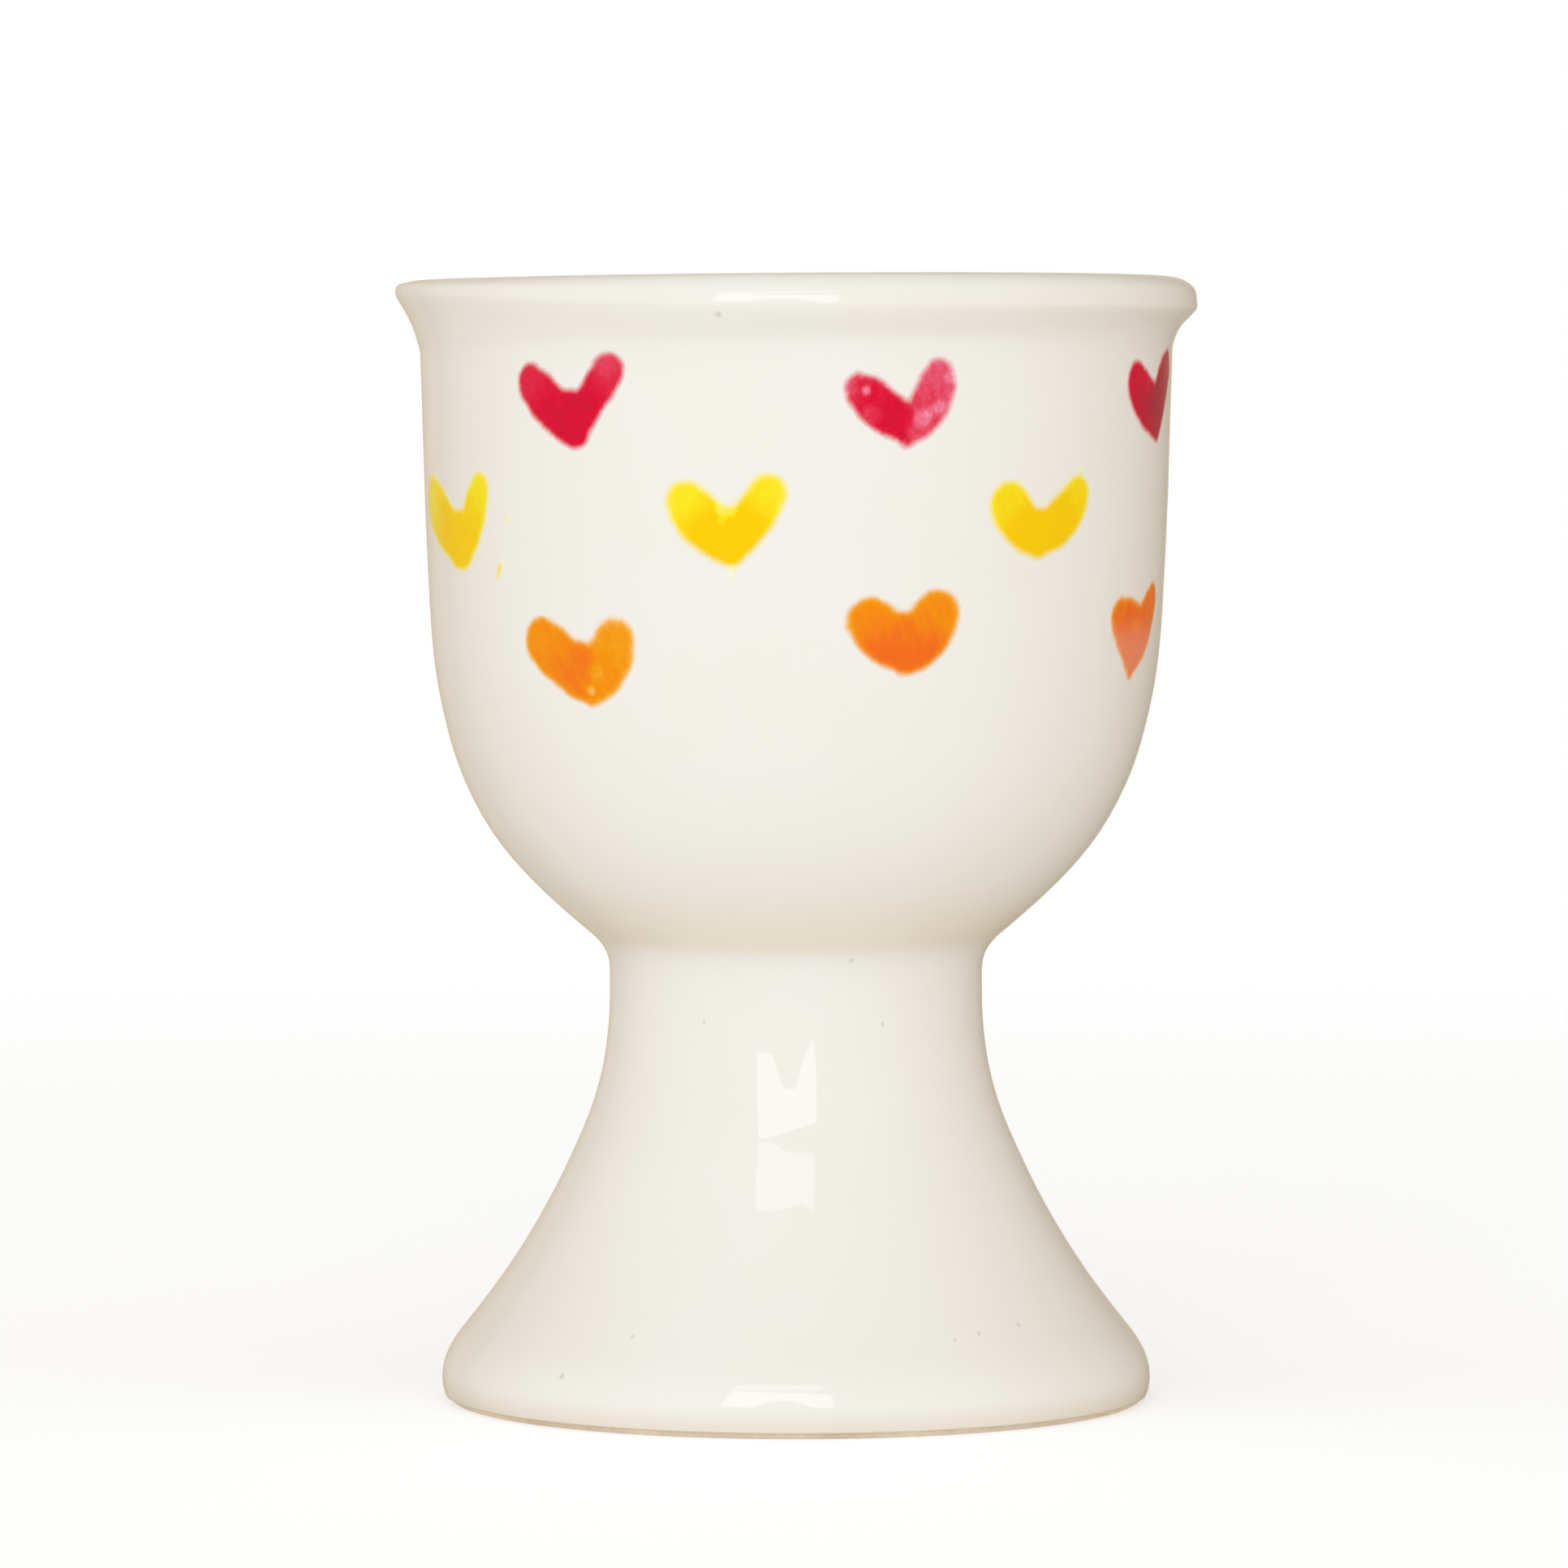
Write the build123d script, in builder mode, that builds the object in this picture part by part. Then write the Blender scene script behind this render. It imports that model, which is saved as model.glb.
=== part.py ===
import os
from math import acos, asin, atan2, cos, degrees, hypot, pi, radians, sin

from build123d import *

# A thrown earthenware egg cup: a deep bowl luted to a hollow trumpet foot, glazed all over
# but for the ring it stands on, with three staggered rows of brush-painted hearts.
# Millimetres, +Z up, the origin on the table under the middle. The front faces -Y.

# Finished sizes, measured over the glaze
cup_height = 72.0
rim_radius = 25.7
wall_top_radius = 24.12
wall_bend_radius = 23.55
wall_bend_height = 50.6
wall_low_radius = 22.8
wall_low_height = 44.6
belly_radius = 20.75
belly_height = 38.6
belly_end_angle = 51.0
waist_radius = 11.98
foot_radius = 22.8

# Clay sizes
bowl_wall = 2.2
bowl_floor = 2.7
lip_depth = 4.6
lip_reach = 1.75
lip_roll = 1.0
lip_roll_angle = 60.0
base_radius = 9.9
joint_height = 27.9
slip_bed = 0.5
slip_rise = 2.3
slip_reach = 1.2
stem_length = 1.6
flare_middle_height = 17.2
flare_middle_reach = 1.8
foot_wall = 3.0
foot_edge_radius = 4.2
foot_edge_lift = 0.7
foot_flank_angle = 38.0
ring_rounding = 0.45

# Glaze and colour
glaze_thickness = 0.25
bare_height = 0.5
film_thickness = 0.12

# Hearts, painted freehand with two strokes that meet at the tip. The rows keep to the painted
# wall: red hangs from the root of the lip, orange stands on the foot of the wall, yellow is midway.
red_drop = 3.6
orange_rise = 4.4
heart_tilt = 5.0

# Each heart's angle from the front, and how far it strayed above its row
red_angles = (-35, 16, 70, 118, 166, 214, 262)
red_strays = (0.0, -0.15, 0.25, -0.4, 0.3, 0.1, -0.3)
yellow_angles = (-64, -10, 39, 97, 147, 197, 247)
yellow_strays = (-0.15, 0.05, 0.3, 0.4, -0.3, 0.1, -0.4)
orange_angles = (-34, 16, 64, 112, 160, 210, 262)
orange_strays = (-1.3, 0.65, 0.35, -0.4, 0.3, -0.8, 0.1)

red_lobe_spread = 2.9
red_lobe_rise = 1.85
red_lobe_radius = 0.85
red_notch_rise = 0.8
red_tip_drop = 1.75
red_tip_radius = 0.65

yellow_lobe_spread = 2.75
yellow_lobe_rise = 1.7
yellow_lobe_radius = 1.1
yellow_notch_rise = 0.9
yellow_tip_drop = 1.6
yellow_tip_radius = 0.75

orange_lobe_spread = 2.4
orange_lobe_rise = 1.4
orange_lobe_radius = 1.45
orange_notch_rise = 1.55
orange_tip_drop = 1.75
orange_tip_radius = 0.65

# Clay lines under the glaze
clay_top = cup_height - glaze_thickness
clay_lip = rim_radius - glaze_thickness
clay_wall_top = wall_top_radius - glaze_thickness
clay_wall_bend = wall_bend_radius - glaze_thickness
clay_wall_low = wall_low_radius - glaze_thickness
clay_belly = belly_radius - glaze_thickness
clay_waist = waist_radius - glaze_thickness
clay_foot = foot_radius - glaze_thickness
lip_root_height = cup_height - lip_depth
red_height = lip_root_height - red_drop
orange_height = wall_low_height + orange_rise
yellow_height = (red_height + orange_height) / 2
base_height = joint_height + slip_bed
floor_height = base_height + bowl_floor
hollow_top = clay_waist - foot_wall
wall_lean = (wall_bend_radius - wall_top_radius, wall_bend_height - lip_root_height)
low_wall_lean = (wall_low_radius - wall_bend_radius, wall_low_height - wall_bend_height)
belly_end = (-sin(radians(belly_end_angle)), -cos(radians(belly_end_angle)))


# Each curve below lies a coat's thickness outside the clay: 0 draws the clay itself.


def slip_top(coat):
    reach = slip_reach - coat * belly_end[1]
    rise = slip_rise + coat * belly_end[0]
    return (clay_waist + reach, joint_height + rise)


def bowl_inside(coat):
    low = (clay_wall_bend - bowl_wall - coat, wall_bend_height)
    top = (clay_wall_top - bowl_wall - coat, lip_root_height)
    crown = (clay_lip - lip_reach, clay_top + coat)
    upward = (-wall_lean[0], -wall_lean[1])
    with BuildLine() as curve:
        Spline((0, floor_height + coat), low, tangents=((1, 0), upward))
        Line(low, top)
        Spline(top, crown, tangents=(upward, (1, 0)))
    return curve.line


def bowl_lip(coat):
    roll_centre = (clay_lip - lip_reach, clay_top - lip_roll)
    roll_turn = lip_roll_angle - 180
    root = (clay_wall_top + coat, lip_root_height)
    with BuildLine() as curve:
        roll = EllipticalCenterArc(roll_centre, lip_reach + coat, lip_roll + coat, 90, arc_size=roll_turn)
        Spline(roll @ 1, root, tangents=(roll % 1, wall_lean))
    return curve.line


def painted_wall(coat):
    top = (clay_wall_top + coat, lip_root_height)
    bend = (clay_wall_bend + coat, wall_bend_height)
    low = (clay_wall_low + coat, wall_low_height)
    with BuildLine() as curve:
        Polyline(top, bend, low)
    return curve.line


def bowl_belly(coat):
    low = (clay_wall_low + coat, wall_low_height)
    belly = (clay_belly + coat, belly_height)
    with BuildLine() as curve:
        Spline(low, belly, slip_top(coat), tangents=(low_wall_lean, belly_end))
    return curve.line


def slip_outside(coat):
    with BuildLine() as curve:
        Spline(slip_top(coat), (clay_waist + coat, joint_height), tangents=(belly_end, (0, -1)))
    return curve.line


def foot_outside(coat):
    stem_radius = clay_waist + coat
    stem_end = (stem_radius, joint_height - stem_length)
    flare_middle = (stem_radius + flare_middle_reach, flare_middle_height)
    edge_centre = (clay_foot - foot_edge_radius, bare_height + foot_edge_lift)
    with BuildLine() as curve:
        edge = CenterArc(edge_centre, foot_edge_radius + coat, foot_flank_angle, -foot_flank_angle)
        Line((stem_radius, joint_height), stem_end)
        Spline(stem_end, flare_middle, edge @ 0, tangents=((0, -1), edge % 0))
        Line(edge @ 1, (clay_foot + coat, bare_height))
    return curve.line


# The bowl, thrown with a rolled lip and a small flat base
with BuildSketch(Plane.XZ) as bowl_section:
    with BuildLine():
        add(bowl_inside(0))
        add(bowl_lip(0))
        add(painted_wall(0))
        add(bowl_belly(0))
        Polyline(slip_top(0), (base_radius, base_height), (0, base_height), (0, floor_height))
    make_face()
with BuildPart() as bowl:
    revolve(bowl_section.sketch, axis=Axis.Z)

# The foot, an even wall that follows its outside, with a rounded standing ring
with BuildSketch(Plane.XZ) as foot_section:
    with BuildLine():
        add(foot_outside(0))
        Polyline(
            (clay_foot, bare_height),
            (clay_foot, 0),
            (clay_foot - foot_wall, 0),
            (clay_foot - foot_wall, bare_height),
        )
        add(foot_outside(-foot_wall))
        Line((hollow_top, joint_height), (clay_waist, joint_height))
    make_face()
    fillet(foot_section.vertices().group_by(Axis.Y)[0], radius=ring_rounding)
with BuildPart() as foot:
    revolve(foot_section.sketch, axis=Axis.Z)

# The slip: a thin bed on the foot, filling the crease under the bowl
with BuildSketch(Plane.XZ) as slip_section:
    with BuildLine():
        add(slip_outside(0))
        Polyline(
            (clay_waist, joint_height),
            (hollow_top, joint_height),
            (hollow_top, base_height),
            (base_radius, base_height),
            slip_top(0),
        )
    make_face()
with BuildPart() as slip_joint:
    revolve(slip_section.sketch, axis=Axis.Z)

# The glaze, one coat from the floor of the bowl over the lip and down to the bare ring
with BuildSketch(Plane.XZ) as glaze_section:
    with BuildLine():
        for coat in (0, glaze_thickness):
            add(bowl_inside(coat))
            add(bowl_lip(coat))
            add(painted_wall(coat))
            add(bowl_belly(coat))
            add(slip_outside(coat))
            add(foot_outside(coat))
        Line((0, floor_height), (0, floor_height + glaze_thickness))
        Line((clay_foot, bare_height), (foot_radius, bare_height))
    make_face()
with BuildPart() as glaze:
    revolve(glaze_section.sketch, axis=Axis.Z)

# The layer that the colour lies in, on the outside of the glazed wall
ground = painted_wall(glaze_thickness)
surface = painted_wall(glaze_thickness + film_thickness)
with BuildSketch(Plane.XZ) as film_section:
    with BuildLine():
        add(ground)
        add(surface)
        Line(ground @ 0, surface @ 0)
        Line(ground @ 1, surface @ 1)
    make_face()
with BuildPart() as film:
    revolve(film_section.sketch, axis=Axis.Z)


def heart_plane(angle, height):
    outward = Vector(0, -1, 0).rotate(Axis.Z, angle)
    along = Vector(1, 0, 0).rotate(Axis.Z, angle)
    start = outward * waist_radius + Vector(0, 0, height)
    tilted = along.rotate(Axis((0, 0, 0), outward), heart_tilt)
    return Plane(origin=start, x_dir=tilted, z_dir=outward)


def brush_heart(spread, rise, lobe_radius, notch, drop, tip_radius):
    stroke = hypot(spread, rise + drop)
    cleft = hypot(spread, rise - notch)
    flank = atan2(rise + drop, spread) - acos((lobe_radius - tip_radius) / stroke)
    inside = atan2(rise - notch, spread) + asin(lobe_radius / cleft) + pi / 2
    with BuildLine() as outline:
        lobe = CenterArc((spread, rise), lobe_radius, degrees(flank), degrees(inside - flank))
        tip = CenterArc((0, -drop), tip_radius, -90, degrees(flank) + 90)
        Line((0, notch), lobe @ 1)
        Line(tip @ 1, lobe @ 0)
        mirror(about=Plane.YZ)
    make_face(outline.edges())


def heart_row(angles, strays, row_height, *brush_sizes):
    for angle, stray in zip(angles, strays):
        with BuildSketch(heart_plane(angle, row_height + stray)) as heart:
            brush_heart(*brush_sizes)
        extrude(heart.sketch, amount=rim_radius)
    add(film.part, mode=Mode.INTERSECT)


with BuildPart() as red_hearts:
    heart_row(
        red_angles,
        red_strays,
        red_height,
        red_lobe_spread,
        red_lobe_rise,
        red_lobe_radius,
        red_notch_rise,
        red_tip_drop,
        red_tip_radius,
    )

with BuildPart() as yellow_hearts:
    heart_row(
        yellow_angles,
        yellow_strays,
        yellow_height,
        yellow_lobe_spread,
        yellow_lobe_rise,
        yellow_lobe_radius,
        yellow_notch_rise,
        yellow_tip_drop,
        yellow_tip_radius,
    )

with BuildPart() as orange_hearts:
    heart_row(
        orange_angles,
        orange_strays,
        orange_height,
        orange_lobe_spread,
        orange_lobe_rise,
        orange_lobe_radius,
        orange_notch_rise,
        orange_tip_drop,
        orange_tip_radius,
    )

bowl.part.label = "bowl"
foot.part.label = "foot"
slip_joint.part.label = "slip_joint"
glaze.part.label = "glaze"
red_hearts.part.label = "red_hearts"
yellow_hearts.part.label = "yellow_hearts"
orange_hearts.part.label = "orange_hearts"

os.makedirs("parts", exist_ok=True)
export_step(bowl.part, "parts/bowl.step")
export_step(foot.part, "parts/foot.step")
export_step(slip_joint.part, "parts/slip_joint.step")
export_step(glaze.part, "parts/glaze.step")
export_step(red_hearts.part, "parts/red_hearts.step")
export_step(yellow_hearts.part, "parts/yellow_hearts.step")
export_step(orange_hearts.part, "parts/orange_hearts.step")
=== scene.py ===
import math
import random

import bmesh
import bpy
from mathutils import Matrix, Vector, geometry, noise


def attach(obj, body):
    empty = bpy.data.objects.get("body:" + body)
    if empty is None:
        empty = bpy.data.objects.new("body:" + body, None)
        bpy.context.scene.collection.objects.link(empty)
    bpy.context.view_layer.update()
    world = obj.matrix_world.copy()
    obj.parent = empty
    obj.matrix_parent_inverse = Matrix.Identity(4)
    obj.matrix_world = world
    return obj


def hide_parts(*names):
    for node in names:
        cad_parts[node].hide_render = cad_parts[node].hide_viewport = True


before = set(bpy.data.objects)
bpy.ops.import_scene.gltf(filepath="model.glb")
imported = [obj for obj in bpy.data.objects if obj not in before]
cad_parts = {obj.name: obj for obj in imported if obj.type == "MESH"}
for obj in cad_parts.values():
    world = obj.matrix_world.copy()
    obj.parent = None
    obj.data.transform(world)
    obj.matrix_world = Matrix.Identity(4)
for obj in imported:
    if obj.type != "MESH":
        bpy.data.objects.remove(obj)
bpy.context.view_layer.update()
mm = 0.001
print("frame loaded:", sorted(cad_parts))


def hexColour(text):
    shares = [int(text[i:i + 2], 16) / 255 for i in (1, 3, 5)]
    return [s / 12.92 if s <= 0.04045 else ((s + 0.055) / 1.055) ** 2.4 for s in shares] + [1.0]


def addNode(tree, kind, inputs, stops=(), **settings):
    node = tree.nodes.new(kind)
    for name, value in settings.items():
        setattr(node, name, value)
    for socket, value in inputs.items():
        if isinstance(value, bpy.types.NodeSocket):
            tree.links.new(value, node.inputs[socket])
        else:
            node.inputs[socket].default_value = value
    for place, (position, colour) in enumerate(stops):
        elements = node.color_ramp.elements
        element = elements[place] if place < 2 else elements.new(position)
        element.position = position
        element.color = hexColour(colour)
    return node


def newMaterial(name):
    material = bpy.data.materials.new(name)
    material.use_nodes = True
    material.node_tree.nodes.clear()
    return material, material.node_tree


def finishMaterial(tree, inputs):
    shader = addNode(tree, "ShaderNodeBsdfPrincipled", inputs)
    addNode(tree, "ShaderNodeOutputMaterial", {"Surface": shader.outputs["BSDF"]})


def ease(low, high, value):  # 0 below low, 1 above high, smooth between
    share = min(1.0, max(0.0, (value - low) / (high - low)))
    return share * share * (3 - 2 * share)


# Every line of the cup is drawn in its half section: radius, height, and how far the line leans
# from straight down, in mm and degrees. A negative lean runs outwards.
def curveThrough(places, steps, reach=0.36):
    points = []
    for (r0, z0, lean0), (r1, z1, lean1) in zip(places, places[1:]):
        start, end = Vector((r0, 0, z0)), Vector((r1, 0, z1))
        pull = (end - start).length * reach
        leave = Vector((-math.sin(math.radians(lean0)), 0, -math.cos(math.radians(lean0)))) * pull
        arrive = Vector((-math.sin(math.radians(lean1)), 0, -math.cos(math.radians(lean1)))) * pull
        points += geometry.interpolate_bezier(start, start + leave, end - arrive, end, steps)[:-1]
    return points + [end]


def roundTo(centre, across, up, fromAngle, toAngle, steps):  # part of an oval
    angles = [math.radians(fromAngle + (toAngle - fromAngle) * i / steps) for i in range(steps + 1)]
    return [Vector((centre[0] + across * math.cos(a), 0, centre[1] + up * math.sin(a))) for a in angles]


def spinProfile(points, turns, closed=False):
    bm = bmesh.new()
    verts = [bm.verts.new(p * mm) for p in points]
    edges = [bm.edges.new(pair) for pair in zip(verts, verts[1:])]
    if closed:
        edges.append(bm.edges.new((verts[-1], verts[0])))
    bmesh.ops.spin(bm, geom=verts + edges, cent=(0, 0, 0), axis=(0, 0, 1),
                   angle=math.tau, steps=turns, use_merge=True)
    bmesh.ops.remove_doubles(bm, verts=bm.verts, dist=0.0005 * mm)
    bmesh.ops.recalc_face_normals(bm, faces=bm.faces)
    return bm


def facesOutward(bm):  # the widest face of an open spun sheet tells which way it looks
    widest = max(bm.faces, key=lambda f: f.calc_center_median().to_2d().length)
    if widest.normal.dot(widest.calc_center_median() * Vector((1, 1, 0))) < 0:
        bmesh.ops.reverse_faces(bm, faces=bm.faces)


def placeMesh(bm, name, material):
    mesh = bpy.data.meshes.new(name)
    bm.to_mesh(mesh)
    bm.free()
    mesh.materials.append(material)
    placed = bpy.data.objects.new(name, mesh)
    bpy.context.scene.collection.objects.link(placed)
    return placed


def keepPiece(bm, name, material, node):
    piece = placeMesh(bm, name, material)
    piece.data.shade_smooth()
    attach(piece, "root")
    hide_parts(node)
    return piece


# Thrown on a wheel by hand: never quite round, with shallow rings left by the fingers.
thrown = {
    "outOfRound": 0.05, "ringDepth": 0.006, "ringPitch": 5.0, "rimTilt": 0.16,
    "roundHeights": (1, 9), "ringHeights": (2, 6), "tiltHeights": (58, 71),  # each grows between these
    # how far the hand moved the lip, at which height and over what span
    "lipPull": (1.15, 70.2, 2.2), "lipPinch": (0.3, 69.0, 1.3), "lipCorner": (0.22, 71.4, 1.0),
    "pullRadii": (23.7, 24.6), "pinchRadii": (23.8, 24.2), "cornerRadii": (23.8, 24.6),
}


def nearHeight(middle, span, height):  # 1 at the middle, 0 a span away
    return 1 - ease(0, span, abs(height - middle))


def handThrown(point):
    radius = math.hypot(point.x, point.y) / mm
    height = point.z / mm
    if radius < 0.01:
        return point
    side = Vector((point.x, point.y, 0)).normalized()
    wander = noise.noise(Vector((side.x * 0.8, side.y * 0.8, height * 0.025 + 3)))
    ring = math.sin(height * math.tau / thrown["ringPitch"] + side.x * 0.9 + 2 * wander)
    depth = thrown["ringDepth"] * (0.5 + noise.noise(Vector((side.x, side.y, height * 0.12 + 11))))
    grow = thrown["outOfRound"] * wander * ease(*thrown["roundHeights"], height)
    grow += depth * ring * ease(*thrown["ringHeights"], height)
    tilt = thrown["rimTilt"] * side.x * ease(*thrown["tiltHeights"], height)
    # the lip was pulled up to an edge on the left, left squarer on the right and pinched in below
    reach, *band = thrown["lipPinch"]
    grow -= reach * side.x ** 2 * nearHeight(*band, height) * ease(*thrown["pinchRadii"], radius)
    reach, *band = thrown["lipCorner"]
    grow += reach * max(0, side.x) * nearHeight(*band, height) * ease(*thrown["cornerRadii"], radius)
    reach, *band = thrown["lipPull"]
    lift = reach * max(0, -side.x) ** 1.5 * nearHeight(*band, height) * ease(*thrown["pullRadii"], radius)
    return point + side * grow * mm * ease(0, 8, radius) + Vector((0, 0, (tilt + lift) * mm))


# Cream glaze: the cup was dipped in a white tin glaze and fired. It gives a glossy, slightly
# uneven cream skin that thins to buff towards the foot, turns a touch buff at the lip's outer edge,
# and has a few iron specks. Under the bowl's belly the cream is painted warmer and darker as shade.
creamGlaze = {
    "cream": "#e8e2d9", "warm": "#e6ded0", "buff": "#d8c09c", "speck": "#937f6d",
    "mottle": 11.0, "peel": 2.8, "peelDepth": 0.008, "roughness": 0.035, "ior": 1.5,
    # painted shade under the bowl's belly: a warmer, darker cream, fading in from above and fading out
    # towards the waist
    "underShade": "#e6dbc7", "underShadeFrom": (34.4, 30.6), "underShadeTo": (28.9, 30.1),
    "footFade": (0.4, 2.1), "footThin": 0.38, "lipRadius": (25.45, 25.75), "lipEdgeBuff": 0.06,
    "speckSoft": 1.6, "speckStrength": 0.36,
    # turn from the front, height, radius
    "specks": [(-10.9, 69.4, 0.22), (16.4, 29.0, 0.16), (27.0, 24.9, 0.12), (-29.0, 25.0, 0.12),
               (-41.0, 3.3, 0.2), (-30.0, 5.9, 0.14), (34.0, 6.0, 0.14), (43.7, 6.3, 0.16),
               (28.7, 5.7, 0.12), (150.0, 40.0, 0.18), (205.0, 12.0, 0.16), (110.0, 57.0, 0.14)],
}


def glazeGround(tree):
    look = creamGlaze
    place = addNode(tree, "ShaderNodeTexCoord", {}).outputs["Object"]
    axes = addNode(tree, "ShaderNodeSeparateXYZ", {"Vector": place})
    cloud = addNode(tree, "ShaderNodeTexNoise", {
        "Vector": place, "Scale": 1 / (look["mottle"] * mm), "Detail": 3.0, "Roughness": 0.55})
    tone = addNode(tree, "ShaderNodeMix", {
        0: cloud.outputs["Fac"], 6: hexColour(look["cream"]), 7: hexColour(look["warm"])}, data_type="RGBA")
    # painted shade: the cream turns warmer and darker under the bowl's belly, where shade falls
    underShade = 1.0
    for start, end in (look["underShadeFrom"], look["underShadeTo"]):
        underShade = addNode(tree, "ShaderNodeMapRange", {
            "Value": axes.outputs["Z"], "From Min": start * mm, "From Max": end * mm, "To Max": underShade},
            interpolation_type="SMOOTHSTEP").outputs["Result"]
    tone = addNode(tree, "ShaderNodeMix", {
        0: underShade, 6: tone.outputs[2], 7: hexColour(look["underShade"])}, data_type="RGBA").outputs[2]
    low, high = look["footFade"]
    thin = addNode(tree, "ShaderNodeMapRange", {
        "Value": axes.outputs["Z"], "From Min": high * mm, "From Max": low * mm, "To Max": look["footThin"]},
        interpolation_type="SMOOTHSTEP")
    edge = addNode(tree, "ShaderNodeMix", {
        0: thin.outputs["Result"], 6: tone, 7: hexColour(look["buff"])}, data_type="RGBA")
    flat = addNode(tree, "ShaderNodeVectorMath", {0: place, 1: (1, 1, 0)}, operation="MULTIPLY")
    reach = addNode(tree, "ShaderNodeVectorMath", {0: flat.outputs["Vector"]}, operation="LENGTH")
    # the lip's outer edge turns a touch buff
    start, end = look["lipRadius"]
    lip = addNode(tree, "ShaderNodeMapRange", {
        "Value": reach.outputs["Value"], "From Min": start * mm, "From Max": end * mm,
        "To Max": look["lipEdgeBuff"]}, interpolation_type="SMOOTHSTEP")
    colour = addNode(tree, "ShaderNodeMix", {
        0: lip.outputs["Result"], 6: edge.outputs[2], 7: hexColour(look["buff"])},
        data_type="RGBA").outputs[2]
    peel = addNode(tree, "ShaderNodeTexNoise", {
        "Vector": place, "Scale": 1 / (look["peel"] * mm), "Detail": 1.0})
    bump = addNode(tree, "ShaderNodeBump", {
        "Height": peel.outputs["Fac"], "Distance": look["peelDepth"] * mm, "Strength": 1.0})
    return place, colour, bump.outputs["Normal"]


def makeCreamGlaze():
    material, tree = newMaterial("tin glazed earthenware, dipped")
    place, colour, normal = glazeGround(tree)
    for turn, height, radius in creamGlaze["specks"]:
        spot = outsideAt(turn, height)
        near = addNode(tree, "ShaderNodeVectorMath", {0: place, 1: spot}, operation="DISTANCE")
        mark = addNode(tree, "ShaderNodeMapRange", {
            "Value": near.outputs["Value"], "From Min": creamGlaze["speckSoft"] * radius * mm,
            "From Max": 0.0, "To Max": creamGlaze["speckStrength"]}, interpolation_type="SMOOTHSTEP")
        colour = addNode(tree, "ShaderNodeMix", {
            0: mark.outputs["Result"], 6: colour, 7: hexColour(creamGlaze["speck"])},
            data_type="RGBA").outputs[2]
    finishMaterial(tree, {"Base Color": colour, "Normal": normal,
                          "Roughness": creamGlaze["roughness"], "IOR": creamGlaze["ior"]})
    return material


glazeCoat = {
    "turns": 176, "thickness": 0.25,
    "inside": [(0.0, 31.35, -90), (6.76, 32.0, -102), (12.3, 34.0, -118), (16.99, 38.0, -142),
               (19.9, 44.0, -164), (20.85, 50.6, -178), (21.42, 67.4, -178), (21.6, 70.0, -170),
               (22.19, 71.4, -140), (23.75, 72.0, -90)],
    "lipCentre": (23.75, 70.05), "lipReach": 1.96, "lipRoll": 1.95, "lipUnder": 1.0, "lipEnd": -15,
    "lipFoot": [(25.643, 69.791, 29), (24.45, 68.25, 37), (24.11, 67.4, 2)],
    "outside": [(24.11, 67.4, 2), (23.63, 53.1, 2.9), (22.78, 44.8, 12), (20.66, 38.5, 27),
                (13.12, 30.0, 49.5), (11.99, 27.9, 3), (11.98, 26.2, 0), (12.07, 24.2, -4.5),
                (13.82, 17.2, -23.5), (21.2, 4.95, -39), (22.8, 1.5, 0), (22.6, 0.4, 22)],
}


def glazeProfile():
    coat = glazeCoat
    inside = curveThrough(coat["inside"], 8)
    lip = roundTo(coat["lipCentre"], coat["lipReach"], coat["lipRoll"], 90, 0, 18)
    lip += roundTo(coat["lipCentre"], coat["lipReach"], coat["lipUnder"], 0, coat["lipEnd"], 4)[1:]
    under = curveThrough(coat["lipFoot"], 10)
    outside = under[:-1] + curveThrough(coat["outside"], 12)
    return inside[:-1] + lip[:-1] + outside, outside


profile, outsideLine = glazeProfile()


def outsideRadius(height):  # finished radius from under the lip to the foot, by height
    for upper, lower in zip(outsideLine, outsideLine[1:]):
        if lower.z <= height <= upper.z:
            share = (height - lower.z) / (upper.z - lower.z)
            return lower.x + (upper.x - lower.x) * share
    return glazeCoat["lipFoot"][0][0]


def outsideAt(turn, height, lift=0.0):
    radius = (outsideRadius(height) + lift) * mm
    angle = math.radians(turn)
    return handThrown(Vector((radius * math.sin(angle), -radius * math.cos(angle), height * mm)))


def makeGlazeCoat():
    bm = spinProfile(profile, glazeCoat["turns"])
    facesOutward(bm)
    for vert in bm.verts:
        vert.co = handThrown(vert.co)
    coat = keepPiece(bm, "glaze_coat", makeCreamGlaze(), "glaze")
    wall = coat.modifiers.new("coat", "SOLIDIFY")
    wall.thickness = glazeCoat["thickness"] * mm
    wall.offset = -1
    wall.use_even_offset = True
    return coat


makeGlazeCoat()
print("glaze coat done")


# Bare earthenware: fired once, never glazed underneath. Chalky buff with fine grit and a little
# darker where the kiln shelf and wet fingers marked it.
biscuitClay = {"pale": "#e2cfb6", "deep": "#c9af92", "tones": (0.45, 0.95), "grit": 0.5, "gritShare": 0.35,
               "gritDepth": 0.03, "cloud": 6.0, "roughness": 0.85}


def makeBiscuit(name, look):
    material, tree = newMaterial(name)
    place = addNode(tree, "ShaderNodeTexCoord", {}).outputs["Object"]
    cloud = addNode(tree, "ShaderNodeTexNoise", {
        "Vector": place, "Scale": 1 / (look["cloud"] * mm), "Detail": 4.0})
    grit = addNode(tree, "ShaderNodeTexNoise", {
        "Vector": place, "Scale": 1 / (look["grit"] * mm), "Detail": 2.0})
    both = addNode(tree, "ShaderNodeMath", {
        0: grit.outputs["Fac"], 1: look["gritShare"], 2: cloud.outputs["Fac"]}, operation="MULTIPLY_ADD")
    tone = addNode(tree, "ShaderNodeValToRGB", {"Fac": both.outputs["Value"]},
                   stops=list(zip(look["tones"], (look["pale"], look["deep"]))))
    bump = addNode(tree, "ShaderNodeBump", {
        "Height": grit.outputs["Fac"], "Distance": look["gritDepth"] * mm, "Strength": 1.0})
    finishMaterial(tree, {"Base Color": tone.outputs["Color"], "Normal": bump.outputs["Normal"],
                          "Roughness": look["roughness"]})
    return material


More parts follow.
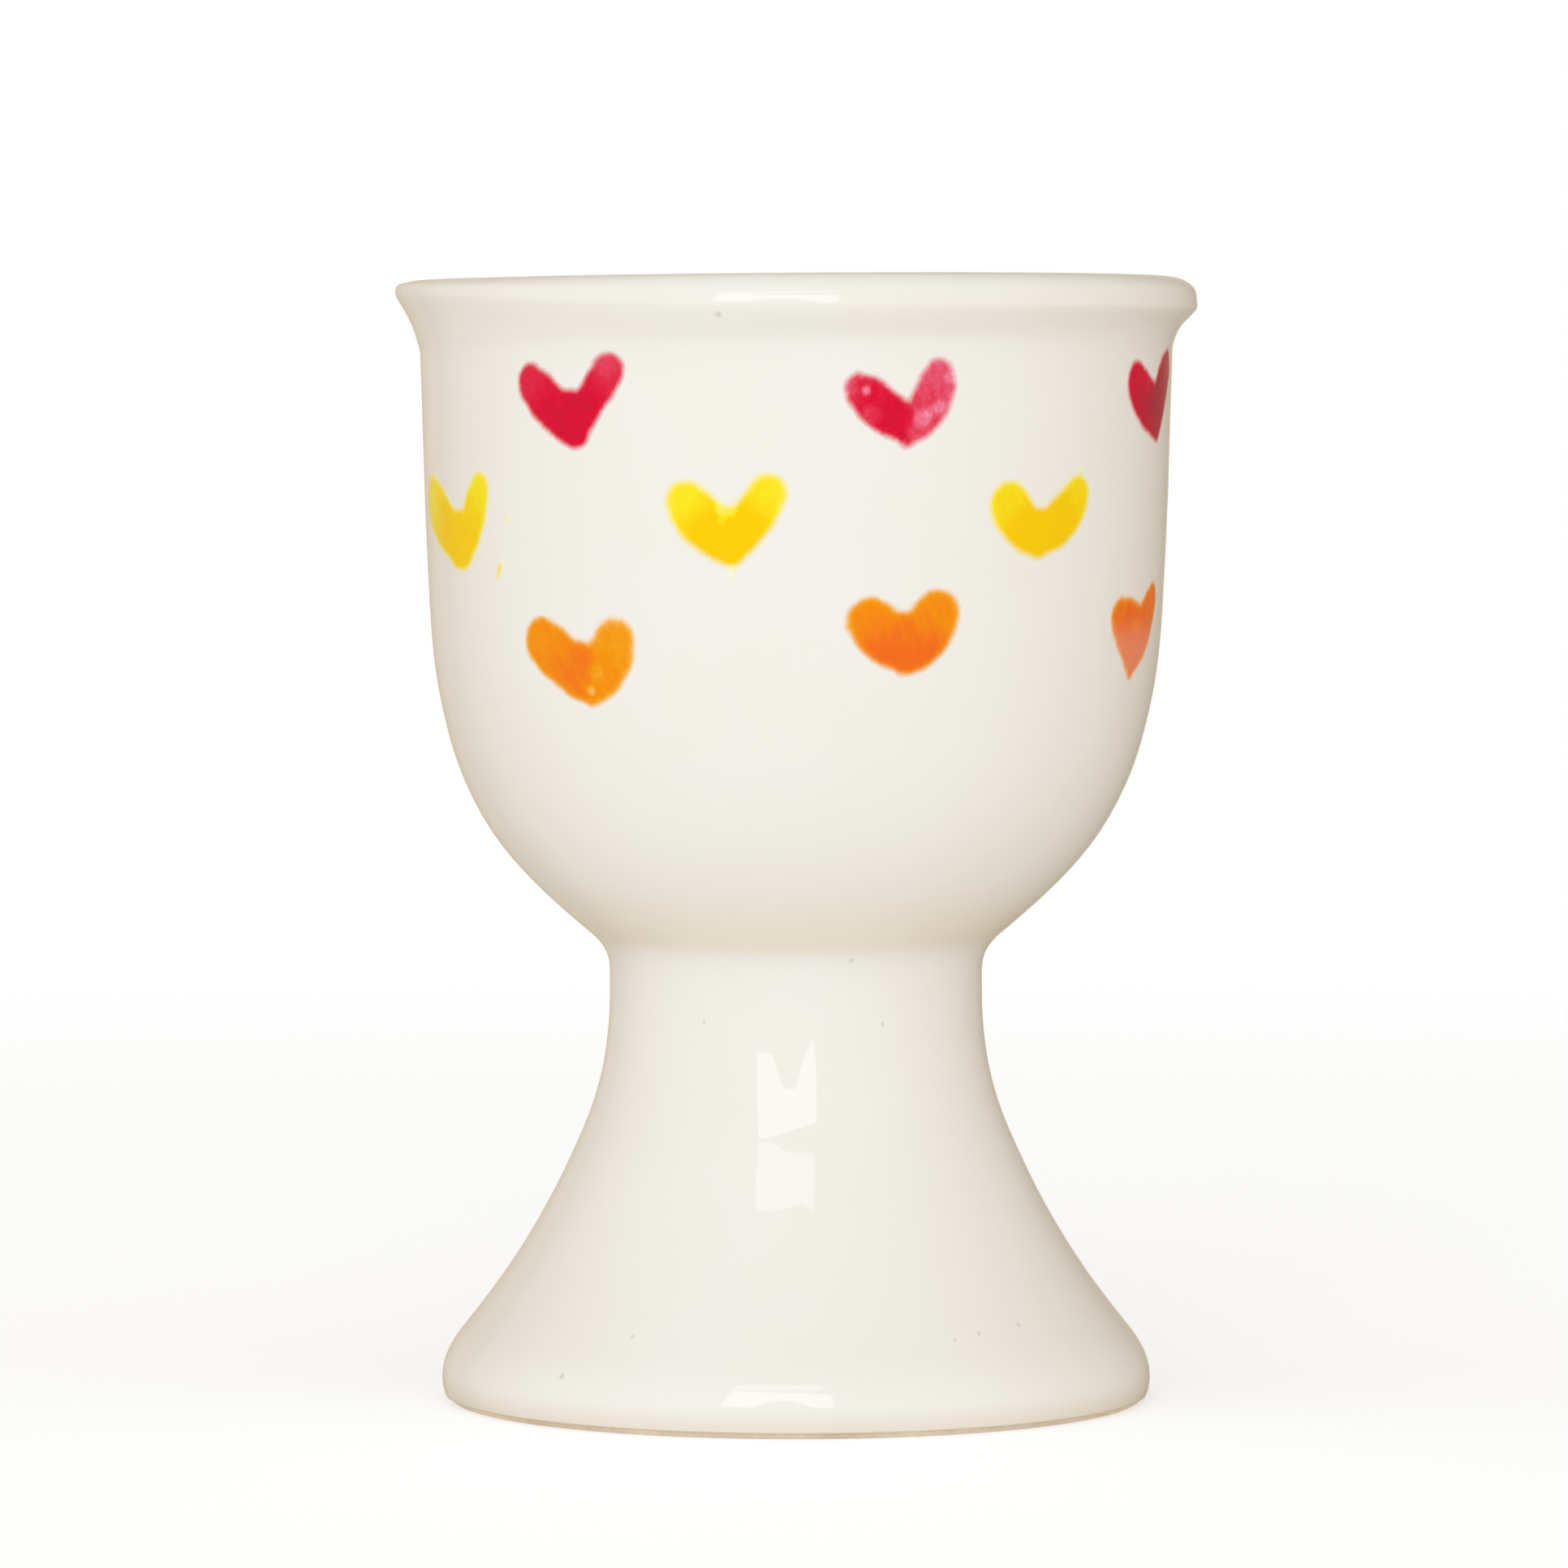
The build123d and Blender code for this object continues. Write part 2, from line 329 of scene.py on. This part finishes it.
clayFoot = {
    "turns": 144, "ringPitch": 1.7, "ringDepth": 0.06,
    "outside": [(11.73, 27.9, 0), (11.73, 26.2, 0), (11.82, 24.2, -4.5), (13.57, 17.2, -23.5),
                (20.98, 4.8, -39), (22.55, 1.5, 0)],
    "ring": [(22.38, 0.45, 18), (22.0, 0.0, 90), (20.0, 0.0, 90), (19.55, 0.45, 180)],
    "hollow": [(19.55, 1.2, 180), (17.74, 4.0, 142), (12.81, 12.0, 152), (9.61, 20.0, 165),
               (8.73, 26.0, 180)],
    "top": (8.73, 27.9),
}


def makeClayFoot(material):
    shape = clayFoot
    hollow = curveThrough(shape["hollow"], 22)
    for point in hollow:  # rings left by the turning tool
        swing = math.sin(point.z * math.tau / shape["ringPitch"]) * ease(1.5, 4, point.z)
        point.x -= shape["ringDepth"] * swing * (1 - ease(22, 26, point.z))
    points = curveThrough(shape["outside"], 14) + curveThrough(shape["ring"], 6, 0.39) + hollow
    points.append(Vector((shape["top"][0], 0, shape["top"][1])))
    bm = spinProfile(points, shape["turns"], closed=True)
    keepPiece(bm, "clay_foot", material, "foot")


clay = makeBiscuit("bare earthenware, fired", biscuitClay)
makeClayFoot(clay)

# Slip is the same clay let down with water: smoother and a shade paler than the thrown clay.
firedSlip = {"pale": "#d9c6ac", "deep": "#c2a88a", "tones": (0.45, 0.95), "grit": 0.35, "gritShare": 0.35,
             "gritDepth": 0.015, "cloud": 4.0, "roughness": 0.8}
slip = makeBiscuit("clay slip, fired", firedSlip)
for node, material in (("bowl", clay), ("slip_joint", slip)):
    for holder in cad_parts[node].material_slots:
        holder.material = material
print("clay done")


# Hearts: each is two strokes of a loaded round brush that meet at the tip, filled in between.
# The colour pools low, thins where the brush lands, and melts a little into the glaze at its edge.
# A stroke runs from its lobe over its belly to the tip: (across, up, brush radius) in mm from
# the middle of the heart.
def strokeDabs(lobe, belly, tip, steps=14):
    swing = [2 * b - (a + c) / 2 for a, b, c in zip(lobe, belly, tip)]
    dabs = []
    for step in range(steps + 1):
        t = step / steps
        shares = ((1 - t) ** 2, 2 * t * (1 - t), t * t)
        dabs.append([sum(s * p for s, p in zip(shares, points)) for points in zip(lobe, swing, tip)] + [t])
    return dabs


def paintedStrokes(heart):
    sides = [side for side in ("left", "right") if side in heart]
    strokes = [(strokeDabs(*heart[side], heart["tip"]), load) for side, load in zip(sides, heart["load"])]
    if "core" in heart:
        strokes.append(([(*heart["core"], 1.0)], max(heart["load"])))
    return strokes + [(strokeDabs(*dabs), load) for *dabs, load in heart.get("more", ())]


def nearestDab(dabs, u, v):
    best = min(dabs, key=lambda d: math.hypot(u - d[0], v - d[1]) - d[2])
    return math.hypot(u - best[0], v - best[1]) - best[2], best[3]


def heartAt(row, heart, strokes, u, v):  # how far outside the paint, and how thick it lies
    seed = heart["turn"] * 0.37
    field, along, load = None, 0.0, 0.0
    for dabs, weight in strokes:
        reach, t = nearestDab(dabs, u, v)
        if field is None:
            field, along, load = reach, t, weight
            continue
        share = max(0.0, min(1.0, 0.5 + 0.5 * (field - reach) / row["meld"]))
        along += (t - along) * share
        load += (weight - load) * share
        field += (reach - field) * share - row["meld"] * share * (1 - share)
    field += row["wobble"] * noise.noise(Vector((u * 0.9, v * 0.9, seed)))
    field += 0.5 * row["wobble"] * noise.noise(Vector((u * 2.6, v * 2.6, seed)))
    load -= heart.get("landing", row["landing"]) * (1 - ease(0.0, 0.6, along))
    hairs = noise.noise(Vector((u * 2.6 + v, v * 0.9 - u * 0.4, seed + 5)))  # drawn out along the stroke
    load += heart.get("streak", row["streak"]) * hairs
    load += heart.get("mottle", 0.06) * noise.noise(Vector((u * 6, v * 6, seed + 9)))
    load += heart.get("pool", 0.0) * (1 - ease(-1.5, 1.5, v))
    load -= row["edgeThin"] * ease(-0.6, 0.15, field)
    for du, dv, radius, change in heart.get("marks", ()):
        load += change * (1 - ease(0.3 * radius, radius, math.hypot(u - du, v - dv)))
    return field, load


heartGrid = {"width": 13.2, "height": 8.4, "cell": 0.11, "lift": 0.022, "sink": 0.012, "thickness": 0.06}


def paintHeart(bm, row, heart, pigment, load):
    grid = heartGrid
    strokes = paintedStrokes(heart)
    columns, rows = (round(grid[side] / grid["cell"]) for side in ("width", "height"))
    made = bmesh.ops.create_grid(bm, x_segments=columns, y_segments=rows, size=0.5)
    soft = row["softEdge"]
    outside = []
    for vert in made["verts"]:
        u, v = vert.co.x * grid["width"], vert.co.y * grid["height"]
        field, weight = heartAt(row, heart, strokes, u, v)
        if field > 1.6 * soft:
            outside.append(vert)
            continue
        cover = 1 - heart.get("thinLow", 0.0) * (1 - ease(-0.8, 1.6, v))
        vert[pigment] = cover * (1 - ease(-soft, soft, field))
        vert[load] = weight
        rise = grid["lift"] * (1 - ease(-0.5, soft, field)) - grid["sink"] * ease(0, 1.5 * soft, field)
        height = heart["height"] + v
        turn = heart["turn"] + math.degrees(u / outsideRadius(height))
        vert.co = outsideAt(turn, height, rise)
    bmesh.ops.delete(bm, geom=outside, context="VERTS")


farHearts = {"stray": 0.25, "swell": (0.9, 1.12), "leftLoad": (0.75, 1.0), "rightLoad": (0.65, 1.0),
             "mottle": (0.04, 0.14)}


def typicalHearts(row):  # the far side, which repeats the row's usual heart with a little chance
    stray = farHearts["stray"]
    chance = random.Random(row["seed"])

    def dab(across, up, radius):
        across += chance.uniform(-stray, stray)
        up += chance.uniform(-stray, stray)
        return across, up, radius * chance.uniform(*farHearts["swell"])

    usual = row["usual"]
    for turn, height in row["farSide"]:
        heart = {"turn": turn, "height": height, "left": [dab(*d) for d in usual["left"]],
                 "right": [dab(*d) for d in usual["right"]], "tip": dab(*usual["tip"]), "core": usual["core"]}
        heart["load"] = (chance.uniform(*farHearts["leftLoad"]), chance.uniform(*farHearts["rightLoad"]))
        heart["mottle"] = chance.uniform(*farHearts["mottle"])
        row["hearts"].append(heart)


paintGrain = {"size": 0.45, "share": 0.12}  # clumps of pigment in the film


def makeBrushColour(name, row):
    material, tree = newMaterial(name)
    place, ground, normal = glazeGround(tree)
    cover = addNode(tree, "ShaderNodeAttribute", {}, attribute_name="pigment").outputs["Fac"]
    load = addNode(tree, "ShaderNodeAttribute", {}, attribute_name="load").outputs["Fac"]
    grain = addNode(tree, "ShaderNodeTexNoise", {
        "Vector": place, "Scale": 1 / (paintGrain["size"] * mm), "Detail": 2.0})
    weight = addNode(tree, "ShaderNodeMath", {
        0: grain.outputs["Fac"], 1: paintGrain["share"], 2: load}, operation="MULTIPLY_ADD")
    paint = addNode(tree, "ShaderNodeValToRGB", {"Fac": weight.outputs["Value"]}, stops=row["stops"])
    colour = addNode(tree, "ShaderNodeMix", {
        0: cover, 6: ground, 7: paint.outputs["Color"]}, data_type="RGBA")
    finishMaterial(tree, {"Base Color": colour.outputs[2], "Normal": normal, "IOR": creamGlaze["ior"],
                          "Roughness": creamGlaze["roughness"], "Specular IOR Level": row["sheen"]})
    return material


def paintRow(row):
    typicalHearts(row)
    bm = bmesh.new()
    pigment = bm.verts.layers.float.new("pigment")
    load = bm.verts.layers.float.new("load")
    for heart in row["hearts"]:
        paintHeart(bm, row, heart, pigment, load)
    bmesh.ops.recalc_face_normals(bm, faces=bm.faces)
    facesOutward(bm)
    film = keepPiece(bm, row["piece"], makeBrushColour(row["material"], row), row["node"])
    body = film.modifiers.new("film", "SOLIDIFY")
    body.thickness = heartGrid["thickness"] * mm
    body.offset = -1
    print(row["piece"], "painted:", len(row["hearts"]), "hearts")


# Red: a cadmium red brushed on thick, opaque in its middle and pink where it runs thin.
redRow = {
    "piece": "red_brush_hearts", "slot": "red_colour", "node": "red_hearts",
    "material": "red ceramic colour, brushed",
    "sheen": 0.05, "softEdge": 0.27, "meld": 0.35, "wobble": 0.1, "landing": 0.22, "streak": 0.08,
    "edgeThin": 0.12, "seed": 3,
    "stops": [(0.0, "#f2c6ca"), (0.25, "#e57a8e"), (0.42, "#e0546a"), (0.62, "#d82a42"), (0.78, "#d50a30"),
              (1.0, "#a81a34")],
    "usual": {"left": [(-2.9, 1.55, 0.8), (-1.6, 0.2, 1.15)], "right": [(2.6, 2.1, 0.85), (1.5, 0.3, 1.1)],
              "tip": (0.2, -1.75, 0.7), "core": (0.0, -0.45, 1.1)},
    "farSide": [(118, 63.4), (166, 64.1), (214, 63.9), (262, 63.5)],
    "hearts": [
        {"turn": -35, "height": 63.8, "left": [(-3.42, 1.55, 1.22), (-1.95, 0.15, 1.45)],
         "right": [(2.5, 2.2, 1.18), (1.28, 0.5, 1.1)], "tip": (0.0, -1.55, 1.0), "core": (-0.4, -0.35, 1.35),
         "more": [((-1.4, 0.0, 1.05), (-0.45, 0.0, 1.05), (0.5, 0.0, 1.05), 0.76)],
         "load": (0.76, 0.75), "streak": 0.03, "landing": 0.14, "marks": [(2.4, 2.5, 1.3, -0.1)]},
        {"turn": 16, "height": 63.65, "left": [(-2.85, 1.3, 0.8), (-1.7, 0.12, 1.25)],
         "right": [(2.25, 2.2, 0.9), (1.7, 0.35, 1.3)], "tip": (0.2, -1.95, 0.34), "core": (0.1, -0.5, 0.85),
         "more": [((-3.5, 1.36, 0.2), (-3.2, 1.72, 0.2), (-2.92, 2.04, 0.2), 0.6),  # a flat brush landed here
                  ((-1.75, 0.55, 1.05), (-1.05, 0.25, 0.92), (-0.4, -0.15, 0.75), 0.74)],
         "load": (0.74, 0.5), "mottle": 0.1, "landing": 0.1,
         "marks": [(-2.42, 1.12, 0.44, -0.42), (1.2, -0.58, 0.85, -0.26), (1.75, -0.2, 0.6, -0.12),
                   (2.3, 0.12, 0.65, -0.26), (3.0, 1.9, 0.6, -0.18), (-2.1, -0.35, 0.85, -0.2),
                   (-3.3, 1.3, 0.8, -0.14)]},
        {"turn": 70, "height": 64.05, "left": [(-3.0, 1.3, 1.3), (-1.9, 0.15, 1.5)],
         "right": [(3.2, 2.15, 1.2), (1.6, 0.6, 1.55)], "tip": (0.65, -1.5, 0.9), "core": (-0.6, -0.2, 1.5),
         "more": [((-1.7, 0.9, 1.05), (-0.9, 0.65, 0.95), (-0.1, 0.35, 0.8), 0.86)],
         "load": (0.86, 0.95), "streak": 0.02, "landing": 0.1},
    ],
}

# Yellow: an antimony yellow with little body, so its lobes stay pale and its core glows. The
# loaded brush flicked a few drops beside the hearts.
yellowRow = {
    "piece": "yellow_brush_hearts", "slot": "yellow_colour", "node": "yellow_hearts",
    "material": "yellow ceramic colour, brushed",
    "sheen": 0.06, "softEdge": 0.3, "meld": 0.3, "wobble": 0.08, "landing": 0.45, "streak": 0.06,
    "edgeThin": 0.25, "seed": 8,
    "stops": [(0.0, "#f0e8bc"), (0.3, "#f1de62"), (0.6, "#f1d81a"), (0.95, "#f1c100")],
    "usual": {"left": [(-2.7, 1.4, 1.2), (-1.35, 0.0, 1.45)], "right": [(2.7, 2.0, 0.95), (1.5, 0.3, 1.3)],
              "tip": (0.1, -1.65, 0.7), "core": (0.0, -0.5, 1.3)},
    "farSide": [(97, 56.8), (147, 56.1), (197, 56.5), (247, 56.0)],
    "hearts": [
        {"turn": -64, "height": 56.25, "left": [(-4.8, 1.6, 1.7), (-2.3, 0.3, 1.85)],
         "right": [(3.15, 2.4, 1.1), (2.15, 0.5, 1.4)], "tip": (0.8, -1.5, 1.15), "core": (0.05, -0.75, 1.9),
         "more": [((-0.9, 0.3, 0.8), (-0.2, 0.2, 0.8), (0.5, 0.25, 0.75), 0.84)],
         "load": (0.84, 0.84), "landing": 0.28},
        {"turn": -10, "height": 56.45, "left": [(-2.78, 1.5, 1.32), (-1.45, 0.0, 1.55)],
         "right": [(2.42, 2.1, 1.18), (1.25, 0.25, 1.3)],
         "tip": (0.05, -1.62, 0.78), "core": (-0.1, -0.35, 1.2),
         "more": [((0.05, -2.4, 0.14), (0.08, -2.8, 0.12), (0.06, -3.15, 0.04), 0.14),  # a faint run
                  ((-0.75, 0.9, 0.5), (-0.3, 0.8, 0.5), (0.2, 0.85, 0.45), 0.5)],
         "load": (1.0, 1.0), "marks": [(-0.5, 0.35, 0.5, -0.28)]},
        {"turn": 39, "height": 56.7, "left": [(-2.2, 1.05, 1.48), (-1.35, -0.1, 1.55)],
         "right": [(3.45, 1.8, 1.05), (2.05, 0.2, 1.5)], "tip": (0.0, -1.15, 1.1), "core": (0.0, -0.5, 1.35),
         "load": (0.97, 0.99), "landing": 0.28},
        # the flicked drops
        {"turn": -51.7, "height": 53.7, "left": [(0.28, 0.5, 0.1), (0.0, 0.0, 0.2)],
         "tip": (-0.3, -0.6, 0.04), "load": (0.6,)},
        {"turn": -49.3, "height": 56.9, "left": [(0.08, 0.3, 0.06), (0.0, 0.0, 0.1)],
         "tip": (-0.05, -0.3, 0.06), "load": (0.2,)},
        {"turn": 47.6, "height": 59.5, "left": [(0.1, 0.4, 0.06), (0.05, 0.05, 0.14)],
         "tip": (0.1, -0.4, 0.3), "load": (0.7,)},
    ],
}

# Orange: the yellow with red in it, laid on full, redder where it pooled below.
orangeRow = {
    "piece": "orange_brush_hearts", "slot": "orange_colour", "node": "orange_hearts",
    "material": "orange ceramic colour, brushed",
    "sheen": 0.06, "softEdge": 0.25, "meld": 0.4, "wobble": 0.1, "landing": 0.16, "streak": 0.1,
    "edgeThin": 0.5, "seed": 5,
    "stops": [(0.0, "#f0cca2"), (0.3, "#eda63a"), (0.5, "#ec9310"), (0.65, "#ec8904"), (0.98, "#ea6618")],
    "usual": {"left": [(-2.3, 1.2, 1.4), (-1.1, -0.1, 1.55)], "right": [(2.2, 1.5, 1.45), (1.35, -0.1, 1.5)],
              "tip": (0.2, -1.8, 0.6), "core": (-0.1, -0.2, 1.7)},
    "farSide": [(112, 48.6), (160, 49.3), (210, 48.2), (262, 49.1)],
    "hearts": [
        {"turn": -34, "height": 47.75, "left": [(-3.4, 1.45, 1.6), (-1.6, 0.0, 1.6)],
         "right": [(2.15, 1.6, 1.5), (1.35, -0.2, 1.52)],
         "tip": (0.15, -2.0, 0.5), "core": (-0.5, -0.2, 1.75),
         "load": (0.76, 0.6), "mottle": 0.1,
         "marks": [(0.2, -1.5, 0.5, -0.45), (0.75, -0.4, 0.8, -0.2), (-1.2, -0.5, 1.2, 0.04)]},
        {"turn": 16, "height": 49.65, "left": [(-2.02, 0.98, 1.5), (-0.9, -0.2, 1.58)],
         "right": [(2.3, 1.45, 1.5), (1.4, -0.1, 1.6)],
         "tip": (0.35, -1.55, 0.75), "core": (0.0, -0.15, 1.75),
         "load": (0.76, 0.74), "pool": 0.22, "landing": 0.1},
        {"turn": 64, "height": 49.35, "left": [(-1.5, 1.15, 1.3), (-0.4, -0.3, 1.3)],
         "right": [(3.75, 2.35, 1.05), (2.0, 0.2, 1.5)], "tip": (0.45, -2.3, 0.35), "core": (0.8, 0.3, 1.3),
         "more": [((-1.3, 1.15, 1.3), (-0.4, 1.18, 1.3), (0.5, 0.95, 1.3), 0.9),
                  ((2.7, 0.0, 0.8), (2.3, -0.55, 0.6), (2.3, -1.05, 0.45), 0.9)],
         "load": (0.9, 0.9), "pool": 0.1, "mottle": 0.12, "landing": 0.05, "thinLow": 0.15,
         "marks": [(-0.7, 0.9, 0.9, 0.15), (2.9, 0.6, 0.6, 0.2), (0.9, 0.6, 0.9, -0.12)]},
    ],
}

for row in (redRow, yellowRow, orangeRow):
    paintRow(row)


# Stage: a white sheet on the table that fades out, in a white room that only the camera sees.
stage = {"sheetRadius": 0.42, "fadeFrom": 0.2, "roomRadius": 6.0, "paper": "#c9c9c9", "paperRoughness": 0.9,
         "glow": 0.48}  # radii in metres


def makeSheet():
    material, tree = newMaterial("white paper")
    place = addNode(tree, "ShaderNodeTexCoord", {}).outputs["Object"]
    reach = addNode(tree, "ShaderNodeVectorMath", {0: place}, operation="LENGTH")
    fade = addNode(tree, "ShaderNodeMapRange", {
        "Value": reach.outputs["Value"], "From Min": stage["fadeFrom"], "From Max": stage["sheetRadius"]},
        interpolation_type="SMOOTHSTEP")
    paper = addNode(tree, "ShaderNodeBsdfPrincipled", {
        "Base Color": hexColour(stage["paper"]), "Roughness": stage["paperRoughness"],
        "Emission Color": hexColour("#ffffff"), "Emission Strength": stage["glow"],
        "Specular IOR Level": 0.0})
    clear = addNode(tree, "ShaderNodeBsdfTransparent", {})
    both = addNode(tree, "ShaderNodeMixShader", {
        0: fade.outputs["Result"], 1: paper.outputs["BSDF"], 2: clear.outputs["BSDF"]})
    addNode(tree, "ShaderNodeOutputMaterial", {"Surface": both.outputs["Shader"]})
    bm = bmesh.new()
    bmesh.ops.create_circle(bm, cap_ends=True, radius=stage["sheetRadius"], segments=96)
    sheet = placeMesh(bm, "white_sheet", material)
    sheet.visible_diffuse = False
    sheet.visible_glossy = False


def makeRoom():
    material, tree = newMaterial("white backdrop")
    glow = addNode(tree, "ShaderNodeEmission", {"Color": hexColour("#ffffff"), "Strength": 1.0})
    addNode(tree, "ShaderNodeOutputMaterial", {"Surface": glow.outputs["Emission"]})
    bm = bmesh.new()
    bmesh.ops.create_icosphere(bm, subdivisions=4, radius=stage["roomRadius"])
    bmesh.ops.reverse_faces(bm, faces=bm.faces)
    room = placeMesh(bm, "white_room", material)
    room.visible_diffuse = False
    room.visible_glossy = False
    room.visible_transmission = False
    room.visible_shadow = False


makeSheet()
makeRoom()

# Light: a bright even tent that dims behind the cup, most on its right, where it also turns warmer. A
# window behind the camera, with a leaf on its sill and a slipped blind, shows on stem, lip and foot.
sky = {
    "bright": 1.22, "dim": 0.42, "dimTurn": 8, "dimSpan": (-0.4, 1.0), "zenith": 0.82, "table": 0.92,
    "horizon": (-0.12, 0.02), "backdrop": 0.25, "backdropTurn": -12, "backdropSpan": (0.86, 0.98),
    "brightTint": "#f4f7f9", "dimTint": "#ffeacb",
}
# turn from straight ahead and height over the horizon of each corner, in degrees
window = {
    "distance": 1.0, "daylight": "#e6f1ff", "radiance": {"lower": 3.5, "upper": 2.9},
    "lower": [(-24, 9.5), (-14, 10.5), (-8, 21.5), (-1, 22.5), (5, 11), (10.5, 7), (12, 14), (12, 34),
              (-4, 36.5), (-23, 38.6)],
    "upper": [(-24, 39.7), (-13, 39.9), (-9, 42), (11, 42.2), (9.5, 49), (4, 47.6), (-24, 47.8)],
}


def makeLight():
    world = bpy.data.worlds.new("studio")
    bpy.context.scene.world = world
    world.use_nodes = True
    tree = world.node_tree
    tree.nodes.clear()
    place = addNode(tree, "ShaderNodeTexCoord", {}).outputs["Generated"]
    height = addNode(tree, "ShaderNodeSeparateXYZ", {"Vector": place}).outputs["Z"]
    turn = math.radians(sky["dimTurn"])
    away = addNode(tree, "ShaderNodeVectorMath", {
        0: place, 1: (math.sin(turn), math.cos(turn), 0)}, operation="DOT_PRODUCT")
    low, high = sky["dimSpan"]
    dimness = addNode(tree, "ShaderNodeMapRange", {
        "Value": away.outputs["Value"], "From Min": low, "From Max": high},
        interpolation_type="SMOOTHSTEP").outputs["Result"]
    around = addNode(tree, "ShaderNodeMapRange", {
        "Value": dimness, "To Min": sky["bright"], "To Max": sky["dim"]}).outputs["Result"]
    turn = math.radians(sky["backdropTurn"])
    behind = addNode(tree, "ShaderNodeVectorMath", {
        0: place, 1: (math.sin(turn), math.cos(turn), 0)}, operation="DOT_PRODUCT")
    low, high = sky["backdropSpan"]
    backdrop = addNode(tree, "ShaderNodeMapRange", {
        "Value": behind.outputs["Value"], "From Min": low, "From Max": high, "To Max": sky["backdrop"]},
        interpolation_type="SMOOTHSTEP").outputs["Result"]
    around = addNode(tree, "ShaderNodeMath", {0: around, 1: backdrop}, operation="ADD").outputs["Value"]
    above = addNode(tree, "ShaderNodeMapRange", {
        "Value": height, "To Min": 1.0, "To Max": sky["zenith"]}).outputs["Result"]
    low, high = sky["horizon"]
    below = addNode(tree, "ShaderNodeMapRange", {
        "Value": height, "From Min": low, "From Max": high, "To Min": sky["table"], "To Max": 1.0},
        interpolation_type="SMOOTHSTEP").outputs["Result"]
    upright = addNode(tree, "ShaderNodeMath", {0: above, 1: below}, operation="MULTIPLY").outputs["Value"]
    glow = addNode(tree, "ShaderNodeMath", {0: around, 1: upright}, operation="MULTIPLY").outputs["Value"]
    tint = addNode(tree, "ShaderNodeMix", {
        0: dimness, 6: hexColour(sky["brightTint"]), 7: hexColour(sky["dimTint"])}, data_type="RGBA")
    light = addNode(tree, "ShaderNodeBackground", {"Color": tint.outputs[2], "Strength": glow})
    addNode(tree, "ShaderNodeOutputWorld", {"Surface": light.outputs["Background"]})


def makeWindow():
    for name, radiance in window["radiance"].items():
        material, tree = newMaterial("daylight through the " + name + " pane")
        glow = addNode(tree, "ShaderNodeEmission", {
            "Color": hexColour(window["daylight"]), "Strength": radiance})
        addNode(tree, "ShaderNodeOutputMaterial", {"Surface": glow.outputs["Emission"]})
        bm = bmesh.new()
        corners = []
        for turn, rise in window[name]:
            across = window["distance"] * math.tan(math.radians(turn))
            up = math.hypot(window["distance"], across) * math.tan(math.radians(rise))
            corners.append(bm.verts.new((across, -window["distance"], up)))
        bm.faces.new(corners)
        bmesh.ops.triangulate(bm, faces=bm.faces)
        pane = placeMesh(bm, name + "_pane", material)
        pane.visible_camera = False
        pane.visible_shadow = False


makeWindow()
makeLight()

# Camera: at the height of the red hearts, with a long lens that looks a little down. Place in mm.
view = {"place": (-0.78, -529.0, 62.7), "lens": 189.0, "sensor": 36.0, "down": 2.5}


def makeCamera():
    data = bpy.data.cameras.new("camera")
    data.lens = view["lens"]
    data.sensor_width = view["sensor"]
    camera = bpy.data.objects.new("camera", data)
    camera.location = Vector(view["place"]) * mm
    camera.rotation_euler = (math.radians(90 - view["down"]), 0, 0)
    bpy.context.scene.collection.objects.link(camera)
    bpy.context.scene.camera = camera
    bpy.context.scene.view_settings.view_transform = "Standard"


makeCamera()
print("stage, light and camera done")
